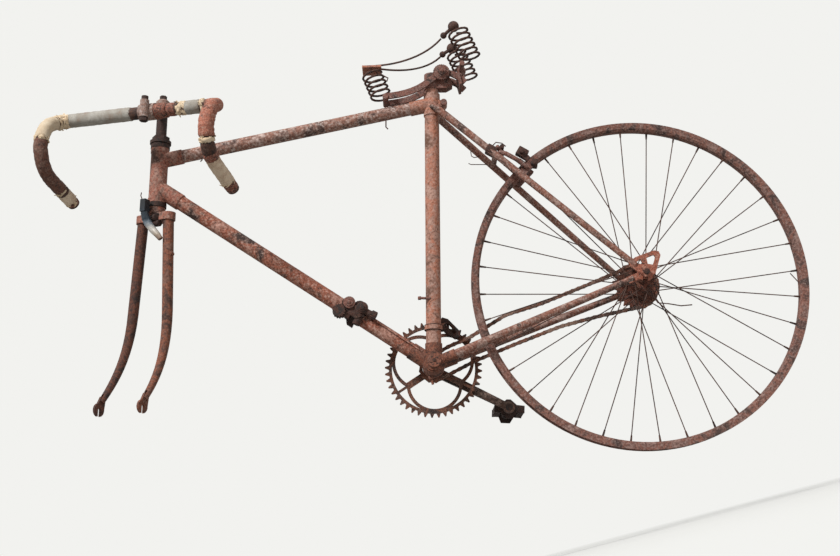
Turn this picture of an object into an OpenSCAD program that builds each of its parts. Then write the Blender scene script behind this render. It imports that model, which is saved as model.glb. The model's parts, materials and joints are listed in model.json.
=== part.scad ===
// An old derailleur bicycle, rusted through, with its front wheel, tyre, left crank and saddle cover gone.
// +X is to the rear, +Y to the drive side, +Z up, both axles level.
// The origin is where the saddle is clamped.

/* [Frame] */
// Angle of the seat tube from level, degrees
seat_angle = 75.8; // [70:0.1:78]
// Angle of the head tube from level, degrees
head_angle = 75.5; // [70:0.1:78]
// Bottom bracket centre to top tube centre, along the seat tube
seat_tube_len = 524; // [430:1:640]
// Seat tube centre to head tube centre, along the top tube
top_tube_len = 546; // [450:1:660]
// Rise of the top tube towards the head, degrees
top_tube_rise = 1.7; // [0:0.1:6]
// Bottom bracket centre to rear axle
chain_stay_len = 423; // [400:1:510]
// Height of the rear axle over the bottom bracket
bracket_drop = 58; // [30:1:75]
// Length of the head tube
head_tube_len = 112; // [95:1:135]
// Head tube standing above the top tube's centre line
head_over_top = 25; // [22:1:32]
// Top tube centre to down tube centre, along the head tube
head_joint_gap = 55; // [48:1:68]
// Radius of the seat tube and the down tube
main_tube_r = 14.3; // [12:0.1:16]
// Radius of the top tube
top_tube_r = 12.7; // [10.5:0.1:14]
// Radius of the head tube
head_tube_r = 16; // [15.6:0.1:19]
// Thickness of a lug over its tube
lug_wall = 1.8; // [1.2:0.1:3]
// Length of a lug from the tube it stands on
lug_len = 30; // [22:1:40]
// Radius of the bottom bracket shell
shell_r = 20.5; // [19:0.1:23]
// Width of the bottom bracket shell
shell_w = 68; // [60:1:74]
// Radius of a chain stay at the bottom bracket
chain_stay_r = 9; // [8:0.1:11]
// Radius of a seat stay
seat_stay_r = 7.2; // [6:0.1:8]
// Inner faces of the rear dropouts
rear_spacing = 120; // [112:1:132]
// Thickness of a rear dropout
dropout_t = 5; // [4:0.1:7]

/* [Rear wheel] */
// Outer radius of the bare rim
rim_r = 319.5; // [280:0.5:330]
// Width of the rim
rim_w = 25; // [20:0.5:32]
// Depth of the rim
rim_depth = 15; // [12:0.5:20]
// Number of spokes
spoke_count = 36; // [28:4:40]
// Diameter of a spoke
spoke_d = 2; // [1.6:0.1:2.6]
// Radius of the hub's spoke flanges
flange_r = 22; // [19:0.5:34]
// Diameter of the rear axle
axle_d = 10; // [8:0.5:12]

/* [Drive] */
// Teeth on the chainring
ring_teeth = 44; // [36:1:52]
// Chain pitch
chain_pitch = 12.7; // [11:0.1:13]
// Crank axis to pedal axis
crank_len = 160; // [150:1:180]
// Angle of the crank below level, degrees
crank_fall = 40.7; // [0:0.1:90]
// Diameter of the bottom bracket spindle
spindle_d = 16; // [14:0.5:17.5]
// Teeth on the largest sprocket
large_teeth = 21; // [20:1:28]

/* [Steering] */
// Angle the fork stands turned to the left, degrees
steer_angle = 63; // [0:1:70]
// Fork crown seat to axle, along the steering axis
fork_len = 396; // [350:1:420]
// Offset of the fork ends from the steering axis
fork_rake = 65; // [35:1:75]
// Diameter of the steerer
steerer_d = 25.4; // [22:0.1:26]
// Centre to centre of the blades at the crown
crown_spread = 62; // [54:1:76]
// Inner faces of the front dropouts
front_spacing = 96; // [88:1:104]
// Radius of a blade at the crown
blade_top_r = 10.5; // [9:0.1:12]
// Radius of a blade at its end
blade_end_r = 6; // [5:0.1:7]
// Reach of the stem from the steering axis
stem_reach = 86; // [60:1:120]
// Angle the stem stands off the fork's own line, degrees
stem_twist = 11.5; // [0:0.5:20]
// Diameter of the stem's quill
quill_d = 20.8; // [20:0.1:22.2]
// Top of the head tube to the handlebar's centre line
stem_height = 41.5; // [36:0.5:60]
// Top of the head tube to the quill's top
quill_show = 103; // [80:1:120]
// Diameter of the handlebar
bar_d = 24; // [22:0.1:26]
// Centre to centre of the handlebar's drops
bar_w = 338; // [320:1:420]
// Radius of the handlebar's hooks
hook_r = 59; // [50:1:70]
// Straight end of each drop
drop_end = 84; // [50:1:100]
// Angle the handlebar is turned down in its clamp, degrees
bar_tilt = 28; // [0:1:40]

/* [Seat] */
// Diameter of the seat post
post_d = 25; // [22:0.1:26]
// Top of the seat tube to the saddle clamp's axis
post_show = 34; // [34:1:90]
// Radius of the saddle's rear coils
rear_coil_r = 20; // [14:0.5:22]
// Radius of the saddle's front coil
front_coil_r = 20; // [14:0.5:22]
// Wire of the saddle's coils
coil_wire = 4.6; // [3.5:0.1:5.5]

/* [Hidden] */

fit = 0.02;             // brazed and pressed joints
run_fit = 0.05;         // bearings and journals
fine = 64;
rust = "#7d4a3c";
rust_dark = "#4d2f2a";
rust_bright = "#a4623f";

// plane geometry of the frame: x to the rear and z up from the bottom bracket's centre
function polar(len, ang) = [len * cos(ang), len * sin(ang)];
function in3(p, y = 0) = [p[0], y, p[1]];
function unit(v) = v / norm(v);
function mix(a, b, t) = a * (1 - t) + b * t;
shell_c = [0, 0];
seat_dir = polar(1, seat_angle);
head_dir = polar(1, head_angle);
seat_joint = seat_dir * seat_tube_len;
head_joint = seat_joint + polar(top_tube_len, 180 - top_tube_rise);
down_joint = head_joint - head_dir * head_joint_gap;
head_low = head_joint + head_dir * (head_over_top - head_tube_len);
axle_c = [sqrt(pow(chain_stay_len, 2) - pow(bracket_drop, 2)), bracket_drop];
seat_top_len = seat_tube_len + top_tube_r + lug_wall + 6;
clamp_len = seat_top_len + post_show;
clamp_back = 20;        // the clamp's axis stands behind the post
clamp_c = seat_dir * clamp_len + [clamp_back, 0];

// places the frame so that the saddle clamp's axis is the origin
module placed() translate(-in3(clamp_c)) children();

// moves +Z onto the line from a to b
module along(a, b) {
    d = b - a;
    translate(a) rotate([0, acos(d[2] / norm(d)), atan2(d[1], d[0])]) children();
}
module rod(a, b, r1, r2 = -1) along(a, b)
    cylinder(h = norm(b - a), r1 = r1, r2 = r2 < 0 ? r1 : r2, $fn = fine);
module disc(y0, y1, r, sides = fine) translate([0, y1, 0]) rotate([90, 0, 0])
    cylinder(h = y1 - y0, r = r, $fn = sides);
module plate(y0, y1) for (i = [0:$children - 1]) translate([0, y1, 0]) rotate([90, 0, 0])
    linear_extrude(y1 - y0) children(i);

// a round bar swept along points, with a radius at each point
function normal_at(pts, i) = unit(pts[min(i + 1, len(pts) - 1)] - pts[max(i - 1, 0)]);
function side_of(t, up) = unit(cross(up, t));
function ring_at(c, t, r, n, up) = let (u = side_of(t, up), v = cross(t, u))
    [for (k = [0:n - 1]) c + r * (cos(360 * k / n) * u + sin(360 * k / n) * v)];
module swept(pts, radii, n = 10, up = [0, 0, 1]) {
    count = len(pts);
    rings = [for (i = [0:count - 1])
        ring_at(pts[i], normal_at(pts, i), is_num(radii) ? radii : radii[i], n, up)];
    points = [for (ring = rings) each ring];
    sides = [for (i = [0:count - 2], k = [0:n - 1])
        [i * n + k, (i + 1) * n + k, (i + 1) * n + (k + 1) % n, i * n + (k + 1) % n]];
    polyhedron(points, concat(sides, [[for (k = [0:n - 1]) k]],
        [[for (k = [n - 1:-1:0]) (count - 1) * n + k]]), convexity = 8);
}
// points of a coil that stands on z = 0
function coil_pts(r, height, turns, lean, start = 0, steps = 14) =
    [for (i = [0:turns * steps]) let (a = start + 360 * i / steps, t = i / (turns * steps))
        [r * cos(a) + lean * t, r * sin(a), height * t]];
// points of a smooth curve through four control points
function curve(a, b, c, d, n) = [for (i = [0:n]) let (t = i / n, s = 1 - t)
    a * s * s * s + b * 3 * s * s * t + c * 3 * s * t * t + d * t * t * t];

// ---- frame tubes ----
shell_bore = 17.5;
stay_front_y = 18;
stay_end_gap = 24;      // the stays end this far short of the axle
stay_end_y = rear_spacing / 2 + dropout_t / 2;
stay_dir = unit(axle_c);
cs_front = in3(stay_dir * shell_r * 0.6);
cs_end = in3(axle_c - stay_dir * stay_end_gap);
seat_lug_c = seat_dir * (seat_tube_len - 8);
ss_dir = unit(axle_c - seat_lug_c);
ss_top = in3(seat_lug_c);
ss_end = in3(axle_c - ss_dir * stay_end_gap);
ss_top_y = main_tube_r + seat_stay_r * 0.8;
stay_tip_r = 5.8;

module head_axis_rod(z0, z1, r) rod(in3(head_low + head_dir * z0), in3(head_low + head_dir * z1), r);
module seat_axis_rod(z0, z1, r) rod(in3(seat_dir * z0), in3(seat_dir * z1), r);
module sleeve(root, to, r, len) rod(root, root + unit(to - root) * len, r + lug_wall);
module lug(root, to, r, len) difference() {
    sleeve(root, to, r, len);
    rod(root - unit(to - root), root + unit(to - root) * (len + 1), r + fit);
}

head_skin = head_tube_r + 0.8;
module tubes_cut(more) {
    rod(in3(head_joint), in3(seat_joint), top_tube_r + more);
    rod(in3(down_joint), in3(shell_c), main_tube_r + more);
}
module lower_cup_cut() head_axis_rod(-60, fit / 2, cup_rim_r + fit);
module head_tube() color(rust) difference() {
    union() {
        head_axis_rod(0, head_tube_len, head_skin);
        difference() {
            union() {
                for (z = [0, head_tube_len - 9]) head_axis_rod(z, z + 9, head_tube_r + lug_wall);
                sleeve(in3(head_joint), in3(seat_joint), top_tube_r, head_tube_r + lug_len);
                sleeve(in3(down_joint), in3(shell_c), main_tube_r, head_tube_r + lug_len + 8);
            }
            tubes_cut(fit);
        }
    }
    head_axis_rod(-1, head_tube_len + 1, cup_r);
    lower_cup_cut();
}
module top_tube() color(rust) difference() {
    rod(in3(head_joint), in3(seat_joint), top_tube_r);
    head_axis_rod(-50, head_tube_len + 50, head_skin + fit);
    seat_axis_rod(0, seat_top_len + 50, main_tube_r + fit);
}
module down_tube() color(rust) difference() {
    rod(in3(down_joint), in3(shell_c), main_tube_r);
    head_axis_rod(-50, head_tube_len + 50, head_skin + fit);
    disc(-shell_w, shell_w, shell_r + fit);
    seat_axis_rod(0, seat_tube_len, main_tube_r + fit);
    lower_cup_cut();
}
ear_back = main_tube_r + 9;     // the clamp ears' bolt behind the tube's middle
module seat_tube() color(rust_bright) difference() {
    union() {
        seat_axis_rod(0, seat_top_len, main_tube_r);
        difference() {
            seat_axis_rod(seat_top_len - 46, seat_top_len, main_tube_r + lug_wall);
            rod(in3(head_joint), in3(seat_joint), top_tube_r + lug_wall / 2);
        }
        lug(in3(seat_joint), in3(head_joint), top_tube_r, main_tube_r + lug_len);
        along(in3(seat_dir * (seat_top_len - 21)), in3(seat_dir * seat_top_len)) {
            translate([ear_back, 10, 0]) rotate([90, 0, 0]) cylinder(h = 20, r = 7, $fn = fine);
            translate([main_tube_r - 4, -10, -6]) cube([13, 20, 12]);
        }
    }
    disc(-shell_w, shell_w, shell_r + fit);
    seat_axis_rod(seat_top_len - 90, seat_top_len + 1, post_d / 2 + fit);
    // the split of the clamp, and the hole for its bolt
    along(in3(seat_dir * (seat_top_len - 21)), in3(seat_dir * seat_top_len)) {
        translate([0, -1.25, -14]) cube([ear_back + 10, 2.5, 40]);
        translate([ear_back, 20, 0]) rotate([90, 0, 0]) cylinder(h = 40, r = 3 + fit, $fn = fine);
    }
    for (s = [-1, 1]) seat_stay_body(s, fit);
}
module seat_bolt() color(rust_dark) along(in3(seat_dir * (seat_top_len - 21)), in3(seat_dir * seat_top_len))
    translate([ear_back, 0, 0]) {
        rotate([90, 0, 0]) translate([0, 0, -15]) cylinder(h = 30, r = 3, $fn = fine);
        for (s = [-1, 1]) translate([0, s * 12.6, 0]) rotate([90, 0, 0]) translate([0, 0, -2.58])
            cylinder(h = 5.16, r = 6.4, $fn = s < 0 ? fine : 6);
    }
module seat_stay_body(s, more = 0) rod([ss_top[0], s * ss_top_y, ss_top[2]],
    [ss_end[0], s * stay_end_y, ss_end[2]], seat_stay_r + more, stay_tip_r + more);

module bottom_bracket_shell() color(rust) difference() {
    union() {
        disc(-shell_w / 2, shell_w / 2, shell_r);
        difference() {
            union() {
                sleeve(in3(shell_c), in3(seat_joint), main_tube_r, shell_r + lug_len - 10);
                sleeve(in3(shell_c), in3(down_joint), main_tube_r, shell_r + lug_len);
                for (s = [-1, 1]) sleeve([cs_front[0], s * stay_front_y, cs_front[2]],
                    [cs_end[0], s * stay_end_y, cs_end[2]], chain_stay_r, shell_r + 12);
            }
            seat_axis_rod(0, seat_tube_len / 2, main_tube_r + fit);
            tubes_cut(fit);
            for (s = [-1, 1]) stay_body(s, fit);
        }
    }
    disc(-shell_w, shell_w, shell_bore);
}
cup_out = 8;            // how far the left cup stands out of the shell
module bracket_cup(s) mirror([0, s < 0 ? 1 : 0, 0]) color(rust_dark) difference() {
    union() {
        disc(shell_w / 2 - 14, shell_w / 2, shell_bore - fit);
        disc(shell_w / 2, shell_w / 2 + 4.5, shell_r - 0.5);
        if (s < 0) disc(shell_w / 2, shell_w / 2 + cup_out, shell_bore - 0.5);
    }
    disc(0, shell_w, spindle_d / 2 + run_fit);
}
module stay_body(s, more = 0) rod([cs_front[0], s * stay_front_y, cs_front[2]],
    [cs_end[0], s * stay_end_y, cs_end[2]], chain_stay_r + more, stay_tip_r + more);
module chain_stay(s) color(rust) difference() {
    stay_body(s);
    disc(-shell_w, shell_w, shell_r + fit);
    dropout_cut(s);
}
module chain_stay_bridge() color(rust) difference() {
    x = 66;
    translate(in3(stay_dir * x)) disc(-stay_end_y, stay_end_y, 6);
    for (s = [-1, 1]) stay_body(s, fit);
    for (s = [-1, 1]) translate([0, s < 0 ? -200 : 0, -100]) translate([0, s * 30, 0]) cube([200, 200, 300]);
}
module seat_stay(s) color(rust) difference() {
    seat_stay_body(s);
    dropout_cut(s);
}
tongue_len = 36;        // the dropouts' tongues reach into the slotted stay ends
module dropout_side(s, more = 0) for (i = [0:$children - 1]) translate(in3(axle_c))
    plate(s < 0 ? -rear_spacing / 2 - dropout_t - more : rear_spacing / 2 - more,
        s < 0 ? -rear_spacing / 2 + more : rear_spacing / 2 + dropout_t + more) children(i);
module dropout_cut(s) dropout_side(s, fit) circle(r = tongue_len + 0.5, $fn = fine);
bridge_r = 366;         // stay bridge from the rear axle
module seat_stay_bridge() color(rust) {
    t = (norm(axle_c - seat_lug_c) - bridge_r) / (norm(axle_c - seat_lug_c) - stay_end_gap);
    c = mix(seat_lug_c, axle_c - ss_dir * stay_end_gap, t);
    difference() {
        translate(in3(c)) disc(-mix(ss_top_y, stay_end_y, t), mix(ss_top_y, stay_end_y, t), 5.5);
        for (s = [-1, 1]) seat_stay_body(s, fit);
    }
}
// the plate that joins the stay ends, slotted for the axle from below
slot_dir = polar(1, 250);
module dropout(s) color(rust_bright) difference() {
    dropout_side(s) {
        circle(r = 15, $fn = fine);
        tongue(-stay_dir, tongue_len, 6.5);
        tongue(-ss_dir, tongue_len, 6.2);
        polygon([[-24, 20], [-19, 29], [-10, 34], [28, 38], [36, 34], [37, 26], [17, -6], [-4, -4]]);
    }
    dropout_side(s, 1) {
        polygon([[-10, 19], [-12, 24], [-2, 28], [1, 19]]);
        polygon([[9, 16], [10, 28], [25, 30], [27, 25], [18, 12]]);
        circle(r = axle_d / 2 + fit, $fn = fine);
        tongue(slot_dir, 40, axle_d / 2);
    }
}
module tongue(dir, len, r) {
    side = [-dir[1], dir[0]] * r;
    polygon([side, side + dir * len, dir * len - side, -side]);
}

// ---- headset and steering ----
cup_r = head_tube_r - 1.6;
cup_rim_r = head_tube_r + 2.5;
cup_h = 9;
module headset_cups() color(rust_dark) difference() {
    union() for (z = [-cup_h, head_tube_len]) {
        head_axis_rod(z, z + cup_h, cup_rim_r);
        head_axis_rod(z < 0 ? -cup_h : head_tube_len - 10, z < 0 ? 10 : head_tube_len + cup_h, cup_r - fit);
    }
    head_axis_rod(-50, head_tube_len + 50, steerer_d / 2 + run_fit);
}
// the fork's own frame: z up the steering axis from the crown seat, -x forward
module steered() translate(in3(head_low - head_dir * (cup_h + 1)))
    rotate([0, 90 - head_angle, 0]) rotate([0, 0, steer_angle]) children();
crown_h = 28;
crown_fall = 13;         // the crown's shoulders lie this far under its seat
steer_top = head_tube_len + cup_h * 2 + 2 + 14;
stem_z = cup_h + 1 + head_tube_len + stem_height;
module fork_crown() color(rust) steered() difference() {
    union() {
        cylinder(h = steer_top, r = steerer_d / 2, $fn = fine);
        translate([0, 0, -crown_fall]) cylinder(h = crown_fall, r = head_tube_r + 1, $fn = fine);
        difference() {
            translate([0, 0, -crown_h]) hull() for (s = [-1, 1]) translate([0, s * crown_spread / 2, 0])
                cylinder(h = crown_h - crown_fall, r = blade_top_r + 2.5, $fn = 32);
            for (s = [-1, 1]) translate([0, s * crown_spread / 2, -crown_h - 1])
                cylinder(h = crown_h - crown_fall - 3, r = blade_top_r + fit, $fn = fine);
        }
    }
    translate([0, 0, 20]) cylinder(h = steer_top, r = quill_d / 2 + fit, $fn = fine);
}
blade_straight = 0.52;  // share of the blade that is straight
module fork_blade(s) color(rust) steered() {
    y0 = s * crown_spread / 2;
    y1 = s * (front_spacing / 2 + 2);
    top = [0, y0, -crown_fall - 4.2];
    knee = [0, mix(y0, y1, blade_straight), -fork_len * blade_straight];
    end = [-fork_rake * 0.93, y1, -fork_len + 14];
    bend = curve(knee, knee + (knee - top) * 0.45, [-fork_rake * 0.45, y1, -fork_len * 0.86], end, 12);
    pts = concat([top, top - [0, 0, crown_h - crown_fall]], bend);
    difference() {
        swept(pts, [for (i = [0:len(pts) - 1])
            mix(blade_top_r, blade_end_r, max(0, (i - 1) / (len(pts) - 2)))], 20, [0, 1, 0]);
        fork_end_slab(s, fit);
    }
}
module fork_end_slab(s, more)
    translate([-200, (s < 0 ? -front_spacing / 2 - fork_end_t : front_spacing / 2) - more, -fork_len - 60])
    cube([400, fork_end_t + 2 * more, 90.5]);
fork_end_t = 4.5;
fork_slot = 6.6;        // width of the slot for the front axle
module fork_end_side(s, more = 0) for (i = [0:$children - 1]) translate([-fork_rake, 0, -fork_len])
    plate(s < 0 ? -front_spacing / 2 - fork_end_t - more : front_spacing / 2 - more,
        s < 0 ? -front_spacing / 2 + more : front_spacing / 2 + fork_end_t + more) children(i);
module fork_end(s) color(rust_bright) steered() difference() {
    fork_end_side(s) {
        circle(r = 12.5, $fn = fine);
        polygon([[-8, 4], [3, 25], [15, 22], [12, -2]]);
    }
    fork_end_side(s, 1) {
        circle(r = fork_slot / 2, $fn = fine);
        translate([-fork_slot / 2, -20]) square([fork_slot, 20]);
    }
}
module headset_nut() color(rust_dark) steered() difference() {
    z = 2 * cup_h + 2 + head_tube_len;
    translate([0, 0, z]) {
        cylinder(h = 6, r = head_tube_r + 4.5, $fn = fine);
        translate([0, 0, 6]) cylinder(h = 9, r = head_tube_r + 1, $fn = 6);
    }
    cylinder(h = 400, r = steerer_d / 2 + fit, $fn = fine);
}
module front_brake() color("#3b4148") steered() {
    translate([-38, -3, -15]) cube([14, 12, 24.5]);
    rod([-24.02, 3, -7], [-head_tube_r - 1.3, 3, -7], 3);
    swept([[-31, 3, -15.02], [-28, 1, -27], [-24, -3, -38], [-19, -11, -50], [-16, -20, -60],
        [-14, -26, -68]], [7.2, 8, 7.6, 7, 6, 4.8], 14, [0, 1, 0]);
}
// the stem is twisted off the fork's line, and its arm slopes down to the clamp
quill_top = cup_h + 1 + head_tube_len + quill_show;
clamp_r = bar_d / 2 + 4;
bolt_x = -stem_reach - bar_d / 2 - 5;
module stemmed() steered() rotate([0, 0, stem_twist]) children();
ring_side = -18;        // the clamp ring stands to the left of the middle
module stem() color(rust) stemmed() difference() {
    union() {
        translate([0, 0, 30]) cylinder(h = quill_top - 34, r = quill_d / 2, $fn = fine);
        translate([0, 0, quill_top - 28]) cylinder(h = 24, r = 13.5, $fn = fine);
        translate([0, 0, quill_top - 4]) cylinder(h = 4, r1 = 13.5, r2 = 10, $fn = fine);
        rod([0, 0, quill_top - 15], [-stem_reach, ring_side, stem_z], 11.5, 10.5);
        translate([-stem_reach, ring_side + 16, stem_z]) rotate([90, 0, 0])
            cylinder(h = 32, r = clamp_r, $fn = fine);
        translate([bolt_x, ring_side, stem_z - 17]) cylinder(h = 34, r = 8.5, $fn = fine);
    }
    translate([-stem_reach, 60, stem_z]) rotate([90, 0, 0])
        cylinder(h = 120, r = bar_d / 2 + fit, $fn = fine);
    translate([bolt_x, ring_side, stem_z - 30]) cylinder(h = 60, r = 3.5 + fit, $fn = fine);
}
module stem_bolts() color(rust_dark) stemmed() {
    translate([0, 0, quill_top]) cylinder(h = 9, r = 7, $fn = 6);
    translate([bolt_x, ring_side, stem_z - 26]) cylinder(h = 50, r = 3.5, $fn = fine);
    translate([bolt_x, ring_side, stem_z + 17]) cylinder(h = 8, r = 6.5, $fn = fine);
    translate([bolt_x, ring_side, stem_z - 25]) cylinder(h = 8, r = 8, $fn = 6);
}
// the handlebar lies in its own frame: origin at the clamp, y to the drive side
bend_r = 32;
hook_turn = 137;
module bar_placed() stemmed() translate([-stem_reach, 0, stem_z]) rotate([0, -bar_tilt, 0]) children();
hook_end = [-bend_r, -hook_r] + polar(hook_r, 90 + hook_turn);
drop_dir = polar(1, 180 + hook_turn);
module bar_line(r) for (s = [-1, 1]) {
    rod([0, 0, 0], [0, s * (bar_w / 2 - bend_r), 0], r);
    translate([-bend_r, s * (bar_w / 2 - bend_r), 0]) rotate([0, 0, s > 0 ? 0 : -90])
        rotate_extrude(angle = 90, $fn = fine) translate([bend_r, 0]) circle(r = r, $fn = 32);
    translate([-bend_r, s * bar_w / 2, -hook_r]) rotate([90, 0, 0]) rotate([0, 0, 90])
        rotate_extrude(angle = hook_turn, $fn = fine) translate([hook_r, 0]) circle(r = r, $fn = 32);
    rod(in3(hook_end, s * bar_w / 2), in3(hook_line(drop_end), s * bar_w / 2), r);
}
module handlebar() color("#8a6a58") bar_placed() bar_line(bar_d / 2);
function hook_line(d) = hook_end + drop_dir * d;
// tape is left on the top run and on each end: from the middle, then along the end
module bar_tape(s) color("#cfc8b8") bar_placed() difference() {
    top = s < 0 ? 36 : 16;
    low = s < 0 ? [2, drop_end - 30] : [40, drop_end - 12];
    union() {
        rod([0, s * top, 0], [0, s * (bar_w / 2 - bend_r - 6), 0], bar_d / 2 + 1);
        rod(in3(hook_line(low[0]), s * bar_w / 2), in3(hook_line(low[1]), s * bar_w / 2), bar_d / 2 + 1);
    }
    for (side = [-1, 1]) {
        rod([0, 0, 0], [0, side * bar_w / 2, 0], bar_d / 2 + fit);
        rod(in3(hook_end, side * bar_w / 2), in3(hook_line(2 * drop_end), side * bar_w / 2), bar_d / 2 + fit);
    }
}

// ---- seat ----
module seat_post() color(rust_bright) seat_axis_rod(seat_top_len - 80, clamp_len - 4, post_d / 2);
barrel_half = post_d / 2 + 3;   // the straps lie against the barrel's ends
strap_t = 5;
module saddle_clamp() color(rust) difference() {
    union() {
        seat_axis_rod(clamp_len - 24, clamp_len + 8, barrel_half - 0.6);
        translate(in3(clamp_c)) {
            disc(-barrel_half, barrel_half, 14);
            disc(-barrel_half - strap_t - 10, barrel_half + strap_t + 10, 4);
            for (s = [-1, 1]) {
                y = s * (barrel_half + strap_t);
                disc(min(y, y + s * 4), max(y, y + s * 4), 15.5);
                disc(min(y + s * 4, y + s * 10), max(y + s * 4, y + s * 10), 8, 6);
            }
            plate(-12, 12) polygon([[-30, -8], [-22, -24], [2, -30], [16, -26], [14, -6], [-20, 10]]);
        }
    }
    seat_axis_rod(clamp_len - 60, clamp_len + fit, post_d / 2 + fit);
}
// the saddle's points are measured with its clamp here, and follow the clamp
saddle_home = [161.91, 560.824];
module saddled() translate(in3(clamp_c - saddle_home)) children();
// the saddle's lower frame: two straps from the front pin to the rear cross bar
coil_c = [221, 562];    // foot of the rear coils
coil_y = 48;
coil_h = 62;
coil_lean = -10;        // the coils' tops stand ahead of their feet
front_c = [36, 547];    // foot of the front coil
front_lean = -7;
nose_z = 607;
cross_c = [coil_c[0] - 20, coil_c[1] - 7];      // bar under the rear coils' feet
strap_path = concat(curve([42, 540], [70, 536], [95, 535], [122, 545], 6),
    [for (p = curve([136, 551], [150, 558], [178, 574], [202, 530], 7)) p]);
function ribbon(path, w) = let (last = len(path) - 1, side = [for (i = [0:last])
    let (d = unit(path[min(i + 1, last)] - path[max(i - 1, 0)])) w * [-d[1], d[0]]])
    concat([for (i = [0:last]) path[i] + side[i]], [for (i = [last:-1:0]) path[i] - side[i]]);
module saddle_lower_bar() color(rust) saddled() difference() {
    union() {
        for (y = [-barrel_half - strap_t, barrel_half]) {
            plate(y, y + strap_t) polygon(ribbon(strap_path, 6));
            translate(in3(cross_c)) disc(y, y + strap_t, 9);
        }
        translate([42, 0, 539]) disc(-barrel_half - strap_t - 3, barrel_half + strap_t + 3, 5.5);
        translate(in3(cross_c)) disc(-coil_y - 9, coil_y + 9, 5);
        translate([190, -26, 526]) cube([5, 52, 25]);
    }
    translate(in3(saddle_home)) disc(-60, 60, 4 + fit);
}
small_knob_c = [183, 42, 627];
top_wire_r = 2;
function top_wire(s) = curve([41, s * 6, nose_z + 7], [84, s * 18, nose_z - 7], [138, s * 34, nose_z - 11],
    [small_knob_c[0] - 6.5, s * (small_knob_c[1] - 1), small_knob_c[2] - 5], 12);
module saddle_nose_plate() color(rust_bright) saddled() difference() {
    translate([31, 0, nose_z]) rotate([0, 12, 0]) {
        translate([-19, -20, 0]) cube([38, 40, 4]);
        translate([-9, -9, 4]) cube([22, 18, 4]);
    }
    for (s = [-1, 1]) swept(top_wire(s), top_wire_r + fit, 8);
}
module saddle_front_coil() color(rust_dark) saddled() translate([front_c[0], 0, front_c[1]])
    swept(coil_pts(front_coil_r, nose_z - front_c[1] - coil_wire * 1.4, 5, front_lean), coil_wire / 2, 8);
module saddle_rear_coils() color(rust_dark) saddled() for (s = [-1, 1])
    translate([coil_c[0], s * coil_y, coil_c[1] + 0.4])
        swept(concat(coil_pts(rear_coil_r, coil_h, 5.5, coil_lean, 180), [[coil_lean + 17, 6, coil_h],
            [coil_lean + 9, 8, coil_h], [coil_lean - 2, 4, coil_h]]), coil_wire / 2, 8);
knob_c = [206, 48, 638];
module saddle_knobs() color(rust_dark) saddled() for (s = [-1, 1]) {
    big = [knob_c[0], s * knob_c[1], knob_c[2]];
    small = [small_knob_c[0], s * small_knob_c[1], small_knob_c[2]];
    translate(big) sphere(r = 11, $fn = fine);
    translate(small) sphere(r = 6.5, $fn = fine);
    rod(big, small, 3.5);
}
module saddle_top_wires() color(rust_dark) saddled() for (s = [-1, 1]) swept(top_wire(s), top_wire_r, 8);

// ---- small fittings ----
down_dir = unit(down_joint);
function on_down(len, up) = down_dir * len + [-down_dir[1], down_dir[0]] * -up;
module shift_levers() color(rust_dark) difference() {
    union() {
        rod(in3(down_dir * 172), in3(down_dir * 190), main_tube_r + 2.4);
        plate(-main_tube_r - 8, -main_tube_r + 2) {
            translate(on_down(197, 8)) circle(r = 11, $fn = fine);
            translate(on_down(174, 13)) circle(r = 12.5, $fn = fine);
            polygon([on_down(200, -6), on_down(168, -10), on_down(158, 2), on_down(160, 12), on_down(186, 14),
                on_down(202, 6)]);
        }
        plate(main_tube_r - 2, main_tube_r + 8) {
            translate(on_down(203, -5)) circle(r = 11, $fn = fine);
            polygon([on_down(208, -10), on_down(170, -10), on_down(170, 6), on_down(206, 4)]);
        }
        plate(-6, 6) polygon([on_down(170, -12), on_down(168, -24), on_down(180, -24), on_down(190, -12)]);
    }
    rod(in3(down_dir * 100), in3(down_dir * 260), main_tube_r + fit);
}
band_len = 66;          // the derailleur's band along the seat tube
module front_derailleur() color(rust_dark) {
    c = seat_dir * band_len;
    difference() {
        union() {
            rod(in3(c), in3(c + seat_dir * 10), main_tube_r + 2.4);
            plate(6, 26) polygon([c + [8, 0], c + [22, -2], c + [26, 10], c + [12, 10]]);
        }
        rod(in3(c - seat_dir * 30), in3(c + seat_dir * 60), main_tube_r + fit);
    }
    for (y = [24, 35]) plate(y, y + 2) difference() {
        polygon([[32, 82], [40, 90], [50, 84], [66, 56], [64, 46], [54, 44], [38, 62]]);
        polygon([[44, 76], [49, 76], [60, 56], [56, 51], [50, 56]]);
    }
    plate(26, 35) polygon([[34, 82], [40, 88], [46, 84], [40, 78]]);
}
// a side-pull brake on the stay bridge: two arms, two shoes, one centre bolt
brake_dir = [ss_dir[1] * -1, ss_dir[0]];
bridge_t = (norm(axle_c - seat_lug_c) - bridge_r) / (norm(axle_c - seat_lug_c) - stay_end_gap);
bridge_c = mix(seat_lug_c, axle_c - ss_dir * stay_end_gap, bridge_t);
brake_c = bridge_c + brake_dir * 14;
shoe_c = brake_c + ss_dir * 62;
module rear_brake() color(rust_dark) {
    rod(in3(bridge_c + brake_dir * 5.9), in3(brake_c + brake_dir * 14), 3);
    for (s = [-1, 1]) {
        lift = brake_dir * (s < 0 ? 0 : 7);
        low = shoe_c + brake_dir * 7;
        difference() {
            swept([in3(brake_c + lift - ss_dir * 12, s * -16), in3(brake_c + lift, 0),
                in3(brake_c + lift + ss_dir * 2, s * 20), in3(brake_c + lift + ss_dir * 14, s * 36),
                in3(mix(brake_c + lift, low, 0.6), s * 38), in3(low, s * 32)], [4, 5, 5, 4.6, 4.4, 4.2], 10);
            rod(in3(bridge_c), in3(brake_c + brake_dir * 30), 3 + fit);
        }
        translate([0, s > 0 ? 18 : -29, 0]) plate(0, 11) translate(low - brake_dir * 20)
            tongue(brake_dir, 40, 7);
    }
}
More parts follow.
